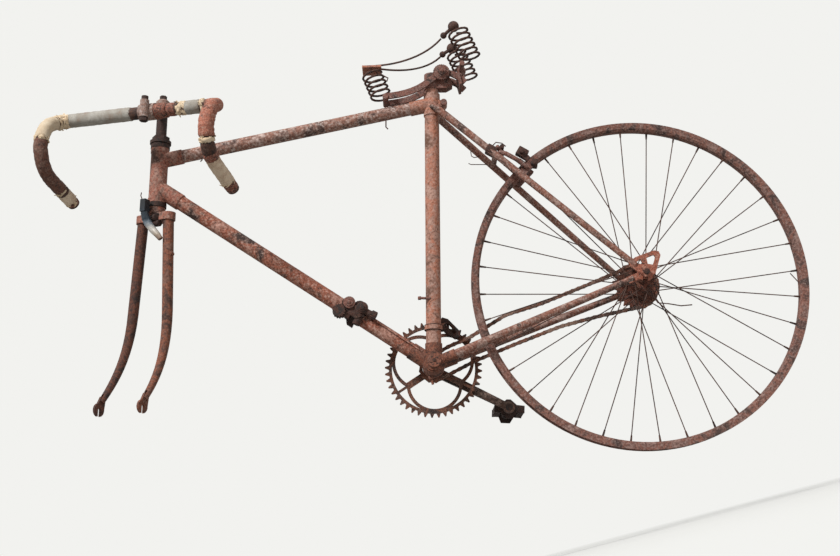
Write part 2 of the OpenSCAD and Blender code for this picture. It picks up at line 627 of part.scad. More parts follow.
module rear_axle() color(rust_dark) translate(in3(axle_c)) {
    disc(-rear_spacing / 2 - dropout_t - 12, rear_spacing / 2 + dropout_t + 12, axle_d / 2, fine);
    for (s = [-1, 1]) {
        y = s * (rear_spacing / 2 + dropout_t + 4.5);
        disc(y - 4.5 + fit, y + 4.5, 9.5, 6);
        disc(s * (rear_spacing / 2 - 3) - 2.9, s * (rear_spacing / 2 - 3) + 2.9, 8.5);
    }
}
function tip_r(teeth) = chain_pitch / (2 * sin(180 / teeth)) + 3.6;
function root_r(teeth) = tip_r(teeth) - 7.6;
// outline of a toothed wheel: four points a tooth
module toothed(teeth) polygon([for (i = [0:teeth - 1]) let (a = 360 * i / teeth, step = 360 / teeth)
    each [polar(root_r(teeth), a - 0.34 * step), polar(tip_r(teeth), a - 0.09 * step),
        polar(tip_r(teeth), a + 0.09 * step), polar(root_r(teeth), a + 0.34 * step)]]);
chain_y = 33.5;
sprocket_gap = 5;
module freewheel() color(rust_dark) translate(in3(axle_c)) difference() {
    union() {
        for (i = [0:4]) translate([0, chain_y + i * sprocket_gap, 0]) plate(-1, 1)
            toothed(large_teeth - [0, 2, 4, 6, 7][i]);
        disc(chain_y - 3, chain_y + 21, 22);
    }
    disc(0, 80, hub_boss_r + run_fit);
}
hub_boss_r = 16;
chain_wrap_r = shell_r + 4.2;
sprocket_r = chain_pitch / (2 * sin(180 / large_teeth));
upper_run = [[330, 84], [230, 70], [161, 66], [120, 53], [80, 40], [40, 34]];
lower_run = [[80, -6], [160, 6], [256, 18], [330, 19]];
module chain() color(rust_dark) {
    w = 3.8;
    path = concat(
        [for (a = [104:8:120]) axle_c + polar(sprocket_r, a)], upper_run,
        [for (a = [78:12:270]) polar(chain_wrap_r, a)], lower_run,
        [for (a = [-104:10:104]) axle_c + polar(sprocket_r, a)]);
    difference() {
        plate(chain_y - 3.7, chain_y + 3.7) difference() {
            polygon(offset_path(path, w));
            polygon(offset_path(path, -w));
        }
        translate(in3(axle_c)) translate([0, chain_y, 0]) toothed_room();
    }
}
module toothed_room() {
    disc(-1 - fit, 1 + fit, tip_r(large_teeth) + fit);
    disc(-10, 10, sprocket_r - 4.4 + fit);
}
function offset_path(path, w) = [for (i = [0:len(path) - 1]) let (n = len(path),
    d = unit(path[(i + 1) % n] - path[(i + n - 1) % n])) path[i] + w * [d[1], -d[0]]];

// ---- rear wheel ----
module rim() color(rust) translate(in3(axle_c)) rotate([90, 0, 0]) rotate_extrude($fn = 180)
    polygon([[rim_r - rim_depth, -rim_w * 0.28], [rim_r - rim_depth + 4, -rim_w / 2 + 2], [rim_r, -rim_w / 2],
        [rim_r, -rim_w / 2 + 2], [rim_r - 6, -rim_w / 2 + 3.5], [rim_r - 9, -rim_w * 0.25],
        [rim_r - 9, rim_w * 0.25], [rim_r - 6, rim_w / 2 - 3.5], [rim_r, rim_w / 2 - 2], [rim_r, rim_w / 2],
        [rim_r - rim_depth + 4, rim_w / 2 - 2], [rim_r - rim_depth, rim_w * 0.28]]);
flange_y = [-34, 24];
module rear_hub() color(rust_dark) translate(in3(axle_c)) difference() {
    union() {
        disc(-46, 28, 13);
        disc(28, rear_spacing / 2 - 6.5, hub_boss_r);
        for (y = flange_y) disc(y - 1.6, y + 1.6, flange_r);
        disc(-50, -46, 11);
    }
    disc(-80, 80, axle_d / 2 + run_fit);
}
elbow_gap = 1.4;        // room for the elbows of the outer spokes
module spokes() color(rust_dark) translate(in3(axle_c)) {
    hole_r = flange_r - 3;
    per = spoke_count / 2;
    for (side = [0, 1], i = [0:per - 1]) {
        lead = i % 2 == 0 ? 1 : -1;
        a = 360 * i / per + side * 180 / per;
        b = a + lead * 360 / spoke_count * 6;
        face = i % 2 == 0 ? -1 : 1;
        outer = face == (side == 0 ? -1 : 1);
        y = flange_y[side] + face * (1.6 + spoke_d / 2 + fit + (outer ? elbow_gap : 0));
        p = [hole_r * cos(a), y, hole_r * sin(a)];
        q = [(rim_r - rim_depth - fit) * cos(b), side == 0 ? -3 : 3, (rim_r - rim_depth - fit) * sin(b)];
        rod(p, q, spoke_d / 2);
    }
}

// ---- cranks ----
crank_y = shell_w / 2 + 18;
ring_y = 43.5;
ring_t = 2.4;
module spindle() color(rust_dark) {
    disc(-shell_w / 2 - cup_out - 10, crank_y + 14, spindle_d / 2);
    disc(-shell_w / 2 - cup_out - 10, -shell_w / 2 - cup_out - 1, 12.5);
}
crank_tip = polar(crank_len, -crank_fall);
ring_band = 6;          // width of the ring under its teeth
module bows(c, r) for (i = [0:2]) rotate(120 * i + 60 - crank_fall) translate([c, 0]) circle(r = r, $fn = 96);
// the pattern of the ring: three arms, each forking into two curved branches and a strut
module chainring() color(rust) {
    inner = root_r(ring_teeth) - ring_band;
    bow_r = inner * 0.63;
    bow_c = inner - bow_r;
    node_r = bow_c / 2 + sqrt(pow(bow_r, 2) - 0.75 * pow(bow_c, 2));
    difference() {
        union() {
            translate([0, ring_y, 0]) plate(-ring_t / 2, ring_t / 2) difference() {
                toothed(ring_teeth);
                difference() {
                    circle(r = inner, $fn = 128);
                    for (i = [0:2]) rotate(120 * i - crank_fall) {
                        tongue([1, 0], node_r + 3, 6.5);
                        tongue([1, 0], inner + 3, 2.4);
                    }
                    difference() {
                        bows(bow_c, bow_r + 3.2);
                        bows(bow_c, bow_r - 3.2);
                    }
                }
            }
            disc(ring_y - ring_t / 2, crank_y - fit, 15);
        }
        disc(0, 200, spindle_d / 2 + fit);
    }
}
module crank_arm() color(rust) difference() {
    side = polar(1, 90 - crank_fall);
    union() {
        disc(crank_y, crank_y + 13, 15);
        translate(in3(crank_tip)) disc(crank_y + 1, crank_y + 12, 11);
        plate(crank_y + 1, crank_y + 12)
            polygon([crank_tip + side * 6.5, side * 9, side * -9, crank_tip - side * 6.5]);
    }
    disc(0, 200, spindle_d / 2 + fit);
    translate(in3(crank_tip)) disc(0, 200, 7 + run_fit);
}
pedal_tilt = 17;        // the pedal's rear edge hangs down
cage_y = crank_y + 22;
module pedal() color(rust_dark) translate(in3(crank_tip)) rotate([0, pedal_tilt, 0]) {
    disc(crank_y + 1, cage_y, 7);
    disc(cage_y, cage_y + 74, 11);
    for (y = [cage_y, cage_y + 70]) plate(y, y + 4) polygon([[-27, -7], [-14, -6], [-9, -18], [9, -18],
        [16, -6], [31, -7], [31, 7], [16, 8], [4, 18], [-4, 18], [-14, 8], [-27, 7]]);
    for (x = [-26, 18]) translate([x, cage_y + 4, -7]) cube([12, 66, 14]);
}

placed() head_tube();
placed() top_tube();
placed() down_tube();
placed() seat_tube();
placed() bottom_bracket_shell();
placed() bracket_cup(-1);  // bracket_cup_left
placed() bracket_cup(1);  // bracket_cup_right
placed() chain_stay(-1);  // chain_stay_left
placed() chain_stay(1);  // chain_stay_right
placed() chain_stay_bridge();
placed() seat_stay(-1);  // seat_stay_left
placed() seat_stay(1);  // seat_stay_right
placed() seat_stay_bridge();
placed() dropout(-1);  // dropout_left
placed() dropout(1);  // dropout_right
placed() headset_cups();
placed() seat_bolt();
placed() seat_post();
placed() saddle_clamp();
placed() saddle_lower_bar();
placed() saddle_nose_plate();
placed() saddle_front_coil();
placed() saddle_rear_coils();
placed() saddle_top_wires();
placed() saddle_knobs();
placed() shift_levers();
placed() front_derailleur();
placed() rear_brake();
placed() rear_axle();
placed() freewheel();
placed() chain();
placed() fork_crown();
placed() fork_blade(-1);  // fork_blade_left
placed() fork_blade(1);  // fork_blade_right
placed() fork_end(-1);  // fork_end_left
placed() fork_end(1);  // fork_end_right
placed() headset_nut();
placed() front_brake();
placed() stem();
placed() stem_bolts();
placed() handlebar();
placed() bar_tape(-1);  // bar_tape_left
placed() bar_tape(1);  // bar_tape_right
placed() rim();
placed() spokes();
placed() rear_hub();
placed() spindle();
placed() chainring();
placed() crank_arm();
placed() pedal();
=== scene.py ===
import bpy, bmesh, json, math, random
from mathutils import Matrix, Vector, noise


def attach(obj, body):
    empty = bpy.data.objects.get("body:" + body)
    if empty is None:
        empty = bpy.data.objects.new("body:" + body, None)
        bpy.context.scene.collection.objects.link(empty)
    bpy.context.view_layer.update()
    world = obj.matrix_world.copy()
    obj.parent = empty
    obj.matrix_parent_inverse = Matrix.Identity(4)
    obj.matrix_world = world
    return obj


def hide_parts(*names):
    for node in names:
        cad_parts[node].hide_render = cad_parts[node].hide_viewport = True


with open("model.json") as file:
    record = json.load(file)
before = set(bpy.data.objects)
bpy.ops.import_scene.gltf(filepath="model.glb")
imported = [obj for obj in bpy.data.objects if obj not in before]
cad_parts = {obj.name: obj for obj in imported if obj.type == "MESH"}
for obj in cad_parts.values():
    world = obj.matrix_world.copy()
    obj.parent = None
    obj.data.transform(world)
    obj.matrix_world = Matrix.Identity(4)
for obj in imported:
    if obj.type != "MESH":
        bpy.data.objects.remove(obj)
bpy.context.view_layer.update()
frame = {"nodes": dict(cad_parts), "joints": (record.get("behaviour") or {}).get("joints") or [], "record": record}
print("frame loaded,", len(frame["nodes"]), "nodes")
jointPlace = {joint["name"]: Vector(joint["pos_m"]) for joint in frame["joints"]}
jointAxis = {joint["name"]: Vector(joint["axis"]) for joint in frame["joints"]}

# camera, floor and light
cameraSettings = {"place": (-0.2914, -2.1166, -0.9335), "turn": -3.96, "rise": 14.33, "roll": -14.95, "lens": 49.3}
studioSettings = {"floorHeight": -0.955, "backdrop": "#f2f2ef", "floor": "#a0a09d",
                  "ambient": 0.3, "lift": 0.45, "fadeFrom": 0.9, "fadeTo": 2.2}
lampSettings = [
    {"name": "keyLamp", "place": (-2.0, -2.7, 3.2), "aim": (0, 0, -0.3), "size": 0.9, "watts": 240},
    {"name": "fillLamp", "place": (2.9, -2.6, 0.2), "aim": (0.1, 0, -0.3), "size": 2.2, "watts": 26},
]


def hexColour(code):
    # sRGB hex to the linear colour that the nodes want
    parts = [int(code[i:i + 2], 16) / 255 for i in (1, 3, 5)]
    return tuple(c / 12.92 if c <= 0.04045 else ((c + 0.055) / 1.055) ** 2.4 for c in parts) + (1.0,)


def addNode(tree, kind, settings=None, links=None):
    # adds one node: settings are its properties and input values, links are outputs that feed its inputs
    node = tree.nodes.new(kind)
    for key, value in (settings or {}).items():
        if isinstance(key, int) or key in node.inputs:
            node.inputs[key].default_value = value
        else:
            setattr(node, key, value)
    for key, output in (links or {}).items():
        tree.links.new(output, node.inputs[key])
    return node


def linkObject(name, data):
    thing = bpy.data.objects.new(name, data)
    bpy.context.scene.collection.objects.link(thing)
    return thing


def makeCamera(s):
    # looks along +Y, turned towards +X by turn, up by rise, then rolled
    camera = linkObject("camera", bpy.data.cameras.new("camera"))
    spin = Matrix.Rotation(math.radians(s["turn"]), 4, "Z") @ Matrix.Rotation(math.radians(90 + s["rise"]), 4, "X")
    camera.matrix_world = Matrix.Translation(s["place"]) @ spin @ Matrix.Rotation(math.radians(s["roll"]), 4, "Z")
    camera.data.lens = s["lens"]
    camera.data.sensor_width = 36
    bpy.context.scene.camera = camera


def makeLamp(s):
    lamp = linkObject(s["name"], bpy.data.lights.new(s["name"], "AREA"))
    lamp.data.shape = "DISK"
    lamp.data.size = s["size"]
    lamp.data.energy = s["watts"]
    aim = (Vector(s["aim"]) - Vector(s["place"])).to_track_quat("-Z", "Y").to_matrix().to_4x4()
    lamp.matrix_world = Matrix.Translation(s["place"]) @ aim


def makeStudio(s):
    mesh = bpy.data.meshes.new("studioFloor")
    bm = bmesh.new()
    bmesh.ops.create_grid(bm, x_segments=1, y_segments=1, size=40)
    bm.to_mesh(mesh)
    bm.free()
    floor = linkObject("studioFloor", mesh)
    floor.location.z = s["floorHeight"]
    paint = bpy.data.materials.new("mattFloorPaint")
    paint.use_nodes = True
    tree = paint.node_tree
    shader = tree.nodes["Principled BSDF"]
    shader.inputs["Base Color"].default_value = hexColour(s["floor"])
    shader.inputs["Roughness"].default_value = 0.9
    shader.inputs["Emission Color"].default_value = hexColour(s["backdrop"])
    seen = addNode(tree, "ShaderNodeLightPath").outputs["Is Camera Ray"]
    far = addNode(tree, "ShaderNodeVectorMath", {"operation": "LENGTH"},
                  {0: addNode(tree, "ShaderNodeTexCoord").outputs["Object"]})
    fade = addNode(tree, "ShaderNodeMapRange", {"From Min": s["fadeFrom"], "From Max": s["fadeTo"]},
                   {"Value": far.outputs["Value"]})
    fade = addNode(tree, "ShaderNodeMath", {"operation": "MULTIPLY"}, {0: fade.outputs[0], 1: seen})
    lift = addNode(tree, "ShaderNodeMath", {"operation": "MULTIPLY", 1: s["lift"]}, {0: seen})
    tree.links.new(lift.outputs[0], shader.inputs["Emission Strength"])
    glow = addNode(tree, "ShaderNodeEmission", {"Color": hexColour(s["backdrop"])})
    faded = addNode(tree, "ShaderNodeMixShader", None,
                    {0: fade.outputs[0], 1: shader.outputs[0], 2: glow.outputs[0]})
    tree.links.new(faded.outputs[0], tree.nodes["Material Output"].inputs["Surface"])
    mesh.materials.append(paint)
    world = bpy.data.worlds.new("studioWorld")
    bpy.context.scene.world = world
    world.use_nodes = True
    tree = world.node_tree
    tree.nodes.clear()
    path = addNode(tree, "ShaderNodeLightPath")
    seen = addNode(tree, "ShaderNodeMath", {"operation": "MAXIMUM"},
                   {0: path.outputs["Is Camera Ray"], 1: path.outputs["Is Glossy Ray"]})
    ambient = addNode(tree, "ShaderNodeBackground", {"Color": hexColour("#ffffff"), "Strength": s["ambient"]})
    backdrop = addNode(tree, "ShaderNodeBackground", {"Color": hexColour(s["backdrop"]), "Strength": 1.0})
    mix = addNode(tree, "ShaderNodeMixShader", None,
                  {0: seen.outputs[0], 1: ambient.outputs[0], 2: backdrop.outputs[0]})
    addNode(tree, "ShaderNodeOutputWorld", None, {"Surface": mix.outputs[0]})
    bpy.context.scene.view_settings.view_transform = "Standard"


makeCamera(cameraSettings)
makeStudio(studioSettings)
for settings in lampSettings:
    makeLamp(settings)
print("camera, floor and lamps made")

# finishes
# old sports bicycle steel whose enamel has gone: mottled iron oxide, pale powder on the faces, dark pits; a few
# finishes are darkened as painted shade
rustFinishes = {
    "topTubeRust": {"deep": "#432c25", "body": "#86675b", "pale": "#b0948a", "powder": "#dccac1", "glow": "#8f5f4d",
                    "patchMm": 40, "speckMm": 5, "powderShare": 0.7, "bump": 0.5},
    "downTubeRust": {"deep": "#2e1912", "body": "#7f5140", "pale": "#a67767", "powder": "#cdad9f", "glow": "#944f37",
                     "patchMm": 46, "speckMm": 5, "powderShare": 0.6, "bump": 0.5},
    "seatTubeRust": {"deep": "#61402f", "body": "#9a7263", "pale": "#ad8575", "powder": "#cbaea2", "glow": "#ab6a50",
                     "patchMm": 60, "speckMm": 5, "powderShare": 0.5, "bump": 0.42},
    "forkRust": {"deep": "#341e15", "body": "#5d392b", "pale": "#7b5546", "powder": "#a17b6b", "glow": "#84492f",
                 "patchMm": 34, "speckMm": 4, "powderShare": 0.42, "bump": 0.6},
    # painted shade: the far fork blade and its end are made darker than the near ones for the shadow of the crown,
    # over their rust
    "farForkRustPaintedShade": {"deep": "#1b0c07", "body": "#3b2118", "pale": "#523327", "powder": "#735446", "glow": "#673a28",
                    "patchMm": 34, "speckMm": 4, "powderShare": 0.35, "bump": 0.6},
    "headRust": {"deep": "#422a21", "body": "#7f5a4c", "pale": "#9b7365", "powder": "#c0a092", "glow": "#955643",
                 "patchMm": 30, "speckMm": 4, "powderShare": 0.5, "bump": 0.55},
    "stayRust": {"deep": "#402a22", "body": "#7c594d", "pale": "#a28377", "powder": "#cdb9ae", "glow": "#88523f",
                 "patchMm": 38, "speckMm": 4, "powderShare": 0.55, "bump": 0.5},
    "rimRust": {"deep": "#38251f", "body": "#694a41", "pale": "#8c6c62", "powder": "#c2aaa1", "glow": "#845445",
                "patchMm": 30, "speckMm": 4, "powderShare": 0.4, "bump": 0.45},
    "oilyDarkRust": {"deep": "#130907", "body": "#2f1d17", "pale": "#4c3328", "powder": "#86695a", "glow": "#4a2517",
                     "patchMm": 12, "speckMm": 2.5, "powderShare": 0.25, "bump": 0.7},
    # near black: grease and rust, and painted shade where it stands for the shadow under the handlebar on the
    # headset, stem bolts and quill
    "greaseAndPaintedShadeRust": {"deep": "#0b0504", "body": "#24120c", "pale": "#3c2319", "powder": "#6d5040",
                        "glow": "#341a11",
                        "patchMm": 12, "speckMm": 2.5, "powderShare": 0.25, "bump": 0.7},
    "freewheelRust": {"deep": "#1c0c07", "body": "#4a271b", "pale": "#744836", "powder": "#ae8571", "glow": "#6f3623",
                      "patchMm": 10, "speckMm": 2.5, "powderShare": 0.4, "bump": 0.7},
    "chainRust": {"deep": "#2a1712", "body": "#54382d", "pale": "#876859", "powder": "#c4ac9c", "glow": "#7c4630",
                  "patchMm": 40, "speckMm": 2.5, "powderShare": 0.5, "bump": 0.6},
    "springRust": {"deep": "#190d09", "body": "#3a251f", "pale": "#5b4036", "powder": "#8d7166", "glow": "#512e1f",
                   "patchMm": 10, "speckMm": 2.5, "powderShare": 0.22, "bump": 0.6},
    "orangeForging": {"deep": "#3d1f15", "body": "#955e4c", "pale": "#b4806c", "powder": "#c59886", "glow": "#a05238",
                      "patchMm": 12, "speckMm": 3, "powderShare": 0.4, "bump": 0.6},
    "saddlePlateRust": {"deep": "#7b4a3a", "body": "#a97462", "pale": "#ba8876", "powder": "#cba191",
                        "glow": "#b26c4e",
                        "patchMm": 20, "speckMm": 3, "powderShare": 0.4, "bump": 0.4},
    "saddleSteelRust": {"deep": "#33201a", "body": "#664940", "pale": "#856259", "powder": "#b0958b",
                        "glow": "#7b4739",
                        "patchMm": 16, "speckMm": 3, "powderShare": 0.45, "bump": 0.5},
    "crankRust": {"deep": "#1c100b", "body": "#45322a", "pale": "#7c655a", "powder": "#a58d80", "glow": "#513325",
                  "patchMm": 34, "speckMm": 3.5, "powderShare": 0.3, "bump": 0.5},
    # painted shade: the chainring is darkened for the shadow it sits in, over its rust
    "ringRustPaintedShade": {"deep": "#1a0d08", "body": "#3c241b", "pale": "#68473a", "powder": "#b09484", "glow": "#73442f",
                 "patchMm": 30, "speckMm": 3, "powderShare": 0.35, "bump": 0.45},
    "spokeRust": {"deep": "#241612", "body": "#443029", "pale": "#654b42", "powder": "#8d7064", "glow": "#56382b",
                  "patchMm": 60, "speckMm": 3, "powderShare": 0.2, "bump": 0.2},
    "shellRust": {"deep": "#281109", "body": "#603a2c", "pale": "#84594a", "powder": "#ac8370", "glow": "#89503a",
                  "patchMm": 22, "speckMm": 3.5, "powderShare": 0.4, "bump": 0.55},
    "scabbyBarRust": {"deep": "#3b211a", "body": "#633f32", "pale": "#8d6152", "powder": "#c79e8f", "glow": "#8c4a34",
                      "patchMm": 9, "speckMm": 3, "powderShare": 0.5, "bump": 1.0},
    "farBarRust": {"deep": "#2d1912", "body": "#573a30", "pale": "#75574a", "powder": "#987a6c", "glow": "#673c2b",
                   "patchMm": 14, "speckMm": 3.5, "powderShare": 0.4, "bump": 0.9},
    "hookBarRust": {"deep": "#4d2c21", "body": "#955f4d", "pale": "#b58370", "powder": "#cfab9c", "glow": "#a65c42",
                    "patchMm": 10, "speckMm": 3, "powderShare": 0.45, "bump": 1.0},
    "darkBarRust": {"deep": "#1e0f0a", "body": "#3f271d", "pale": "#5a4135", "powder": "#7c6154", "glow": "#4c2c1d",
                    "patchMm": 22, "speckMm": 3.5, "powderShare": 0.35, "bump": 0.7},
    "clampRust": {"deep": "#4a3831", "body": "#8f7a71", "pale": "#b09e96", "powder": "#d0c4bd", "glow": "#825c4b",
                  "patchMm": 12, "speckMm": 3, "powderShare": 0.45, "bump": 0.5},
}


def makeRust(name, s):
    # dull iron oxide: no metal shine left, rough as sandpaper, its colour changes over patches and specks
    finish = bpy.data.materials.new(name)
    finish.use_nodes = True
    tree = finish.node_tree
    shader = tree.nodes["Principled BSDF"]
    place = addNode(tree, "ShaderNodeTexCoord").outputs["Object"]
    patches = addNode(tree, "ShaderNodeTexNoise", {"Scale": 1000 / s["patchMm"], "Detail": 7, "Roughness": 0.66,
                      "Distortion": 0.5}, {"Vector": place})
    ramp = addNode(tree, "ShaderNodeValToRGB", None, {"Fac": patches.outputs["Fac"]})
    stops = ramp.color_ramp.elements
    stops[0].position, stops[0].color = 0.37, hexColour(s["deep"])
    stops[1].position, stops[1].color = 0.63, hexColour(s["pale"])
    for position, colour in ((0.44, s["body"]), (0.50, s["glow"]), (0.56, s["body"])):
        stops.new(position).color = hexColour(colour)
    specks = addNode(tree, "ShaderNodeTexNoise", {"Scale": 1000 / s["speckMm"], "Detail": 4, "Roughness": 0.7},
                     {"Vector": place})
    powderMask = addNode(tree, "ShaderNodeMapRange", {"From Min": 0.5, "From Max": 0.68, "To Max": s["powderShare"]},
                         {"Value": specks.outputs["Fac"]})
    powdered = addNode(tree, "ShaderNodeMix", {"data_type": "RGBA", 7: hexColour(s["powder"])},
                       {0: powderMask.outputs[0], 6: ramp.outputs["Color"]})
    pitMask = addNode(tree, "ShaderNodeMapRange", {"From Min": 0.46, "From Max": 0.36, "To Max": 0.85},
                      {"Value": specks.outputs["Fac"]})
    pitted = addNode(tree, "ShaderNodeMix", {"data_type": "RGBA", 7: hexColour(s["deep"])},
                     {0: pitMask.outputs[0], 6: powdered.outputs[2]})
    scabs = addNode(tree, "ShaderNodeTexVoronoi", {"Scale": 1000 / (s["speckMm"] * 1.7), "Randomness": 1.0},
                    {"Vector": place})
    height = addNode(tree, "ShaderNodeMath", {"operation": "MULTIPLY_ADD", 1: -0.5},
                     {0: scabs.outputs["Distance"], 2: specks.outputs["Fac"]})
    roughness = addNode(tree, "ShaderNodeMapRange", {"To Min": 0.68, "To Max": 0.95},
                        {"Value": specks.outputs["Fac"]})
    bump = addNode(tree, "ShaderNodeBump", {"Strength": s["bump"], "Distance": 0.0011}, {"Height": height.outputs[0]})
    tree.links.new(pitted.outputs[2], shader.inputs["Base Color"])
    tree.links.new(roughness.outputs[0], shader.inputs["Roughness"])
    tree.links.new(bump.outputs[0], shader.inputs["Normal"])
    return finish


def makeTape(name, s):
    # woven cotton bar tape, bleached and dirty, with rust stains bleeding through
    finish = bpy.data.materials.new(name)
    finish.use_nodes = True
    tree = finish.node_tree
    shader = tree.nodes["Principled BSDF"]
    place = addNode(tree, "ShaderNodeTexCoord").outputs["Object"]
    stains = addNode(tree, "ShaderNodeTexNoise", {"Scale": 1000 / s["stainMm"], "Detail": 6, "Roughness": 0.7},
                     {"Vector": place})
    ramp = addNode(tree, "ShaderNodeValToRGB", None, {"Fac": stains.outputs["Fac"]})
    stops = ramp.color_ramp.elements
    stops[0].position, stops[0].color = s["stainFrom"], hexColour(s["stain"])
    stops[1].position, stops[1].color = 0.62, hexColour(s["clean"])
    stops.new(s["stainFrom"] + 0.1).color = hexColour(s["grubby"])
    threads = addNode(tree, "ShaderNodeTexVoronoi", {"Scale": 1000 / 1.6}, {"Vector": place})
    dirt = addNode(tree, "ShaderNodeMapRange", {"From Max": 0.9, "To Min": 0.35},
                   {"Value": threads.outputs["Distance"]})
    woven = addNode(tree, "ShaderNodeMix", {"data_type": "RGBA", 7: hexColour(s["grubby"])},
                    {0: dirt.outputs[0], 6: ramp.outputs["Color"]})
    bump = addNode(tree, "ShaderNodeBump", {"Strength": 0.5, "Distance": 0.0006},
                   {"Height": threads.outputs["Distance"]})
    tree.links.new(woven.outputs[2], shader.inputs["Base Color"])
    tree.links.new(bump.outputs[0], shader.inputs["Normal"])
    shader.inputs["Roughness"].default_value = 0.92
    return finish


def makeChromeArm(name, s):
    # brake arm: black lacquer over chromed steel, worn to grey metal towards its lower end, browned at the tip
    finish = bpy.data.materials.new(name)
    finish.use_nodes = True
    tree = finish.node_tree
    shader = tree.nodes["Principled BSDF"]
    place = addNode(tree, "ShaderNodeTexCoord").outputs["Object"]
    height = addNode(tree, "ShaderNodeSeparateXYZ", None, {"Vector": place})
    wear = addNode(tree, "ShaderNodeTexNoise", {"Scale": 1000 / 9, "Detail": 5, "Roughness": 0.7}, {"Vector": place})
    level = addNode(tree, "ShaderNodeMapRange", {"From Min": s["low"], "From Max": s["high"]},
                    {"Value": height.outputs["Z"]})
    mixed = addNode(tree, "ShaderNodeMath", {"operation": "MULTIPLY_ADD", 1: 0.35, 2: -0.17},
                    {0: wear.outputs["Fac"]})
    total = addNode(tree, "ShaderNodeMath", {"operation": "ADD"}, {0: level.outputs[0], 1: mixed.outputs[0]})
    ramp = addNode(tree, "ShaderNodeValToRGB", None, {"Fac": total.outputs[0]})
    stops = ramp.color_ramp.elements
    stops[0].position, stops[0].color = 0.0, hexColour("#6b4a38")
    stops[1].position, stops[1].color = 1.0, hexColour("#191d22")
    for position, colour in ((0.16, "#a89a8a"), (0.34, "#c9c4bc"), (0.5, "#6f7a84"), (0.62, "#23303b")):
        stops.new(position).color = hexColour(colour)
    bump = addNode(tree, "ShaderNodeBump", {"Strength": 0.35, "Distance": 0.0006}, {"Height": wear.outputs["Fac"]})
    tree.links.new(ramp.outputs["Color"], shader.inputs["Base Color"])
    tree.links.new(bump.outputs[0], shader.inputs["Normal"])
    shader.inputs["Roughness"].default_value = 0.45
    shader.inputs["Metallic"].default_value = 0.25
    return finish


finishes = {name: makeRust(name, s) for name, s in rustFinishes.items()}
finishes["cottonBarTape"] = makeTape("cottonBarTape", {"stainMm": 22, "stainFrom": 0.36, "stain": "#7f5037",
                                                       "grubby": "#938c82", "clean": "#cbcac3"})
finishes["drabBarTape"] = makeTape("drabBarTape", {"stainMm": 20, "stainFrom": 0.4, "stain": "#8a5539",
                                                   "grubby": "#cfb9a0", "clean": "#e6d5bf"})
finishes["creamBarTape"] = makeTape("creamBarTape", {"stainMm": 16, "stainFrom": 0.3, "stain": "#96704f",
                                                     "grubby": "#c2ae93", "clean": "#e4dac6"})
finishes["tornTapeEdge"] = makeTape("tornTapeEdge", {"stainMm": 9, "stainFrom": 0.36, "stain": "#9a7350",
                                                     "grubby": "#cfb899", "clean": "#efe4cf"})
finishes["wornBrakeArm"] = makeChromeArm("wornBrakeArm", {"low": -0.205, "high": -0.125})
nodeFinishes = {
    "topTubeRust": ["top_tube", "seat_stay_bridge"],
    "downTubeRust": ["down_tube", "chain_stay_bridge"],
    "seatTubeRust": ["seat_tube", "seat_post"],
    "headRust": ["head_tube", "fork_crown"],
    "forkRust": ["fork_blade_left", "fork_end_left"],
    # painted shade: the far blade's darker finish stands for the crown's shadow
    "farForkRustPaintedShade": ["fork_blade_right", "fork_end_right"],
    "stayRust": ["seat_stay_left", "seat_stay_right", "chain_stay_left", "chain_stay_right"],
    "orangeForging": ["dropout_left", "dropout_right", "rear_axle"],
    "shellRust": ["bottom_bracket_shell", "bracket_cup_left", "bracket_cup_right", "spindle"],
    "oilyDarkRust": ["front_derailleur"],
    # painted shade: the headset cups, nut and stem bolts get the near-black finish for the shadow under the handlebar
    "greaseAndPaintedShadeRust": ["shift_levers", "headset_cups", "headset_nut", "stem_bolts", "pedal"],
    "freewheelRust": ["freewheel", "rear_hub"],
    "springRust": ["saddle_front_coil", "saddle_rear_coils", "saddle_top_wires", "saddle_knobs"],
    "saddlePlateRust": ["saddle_nose_plate"],
    "saddleSteelRust": ["saddle_lower_bar", "saddle_clamp", "seat_bolt", "rear_brake"],
    "chainRust": ["chain"],
    "rimRust": ["rim"],
    "spokeRust": ["spokes"],
    # painted shade: the chainring's darker finish stands for its shadow
    "ringRustPaintedShade": ["chainring"],
    "crankRust": ["crank_arm"],
    "clampRust": ["stem"],
    "darkBarRust": ["handlebar"],
    "cottonBarTape": ["bar_tape_left", "bar_tape_right"],
    "wornBrakeArm": ["front_brake"],
}
for finishName, nodeNames in nodeFinishes.items():
    for nodeName in nodeNames:
        mesh = frame["nodes"][nodeName].data
        mesh.materials.clear()
        mesh.materials.append(finishes[finishName])
stemMesh = frame["nodes"]["stem"].data
stemMesh.materials.append(finishes["greaseAndPaintedShadeRust"])
steerAxis = jointAxis["steering_turn"]
for face in stemMesh.polygons:
    # painted shade: the quill takes the near-black finish for the shadow under the handlebar, the forged clamp above
    # it keeps its paler finish
    off = face.center - jointPlace["steering_turn"]
    if (off - steerAxis * off.dot(steerAxis)).length < 0.0108 and off.dot(steerAxis) < 0.19:
        face.material_index = 1
bandMesh = frame["nodes"]["front_derailleur"].data
bandMesh.materials.append(finishes["seatTubeRust"])
seatAngle = math.radians(75.8)
seatAxis = Vector((math.cos(seatAngle), 0, math.sin(seatAngle)))
for face in bandMesh.polygons:
    # the band is as rusty as its tube, the cage is not
    off = face.center - jointPlace["crank_spin"]
    if (off - seatAxis * off.dot(seatAxis)).length < 0.0185:
        face.material_index = 1
print("finishes made and put on", sum(len(n) for n in nodeFinishes.values()), "nodes")


# helpers for new pieces
def finishPiece(name, bm, finish, body, smooth=50):
    bmesh.ops.recalc_face_normals(bm, faces=bm.faces)
    mesh = bpy.data.meshes.new(name)
    bm.to_mesh(mesh)
    bm.free()
    piece = linkObject(name, mesh)
    mesh.materials.append(finishes[finish])
    if smooth:
        mesh.polygons.foreach_set("use_smooth", [True] * len(mesh.polygons))
        mesh.set_sharp_from_angle(angle=math.radians(smooth))
    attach(piece, body)
    return piece


def aimed(start, end):
    # a matrix that stands +Z on the line from start to end
    return Matrix.Translation(start) @ (Vector(end) - Vector(start)).to_track_quat("Z", "Y").to_matrix().to_4x4()


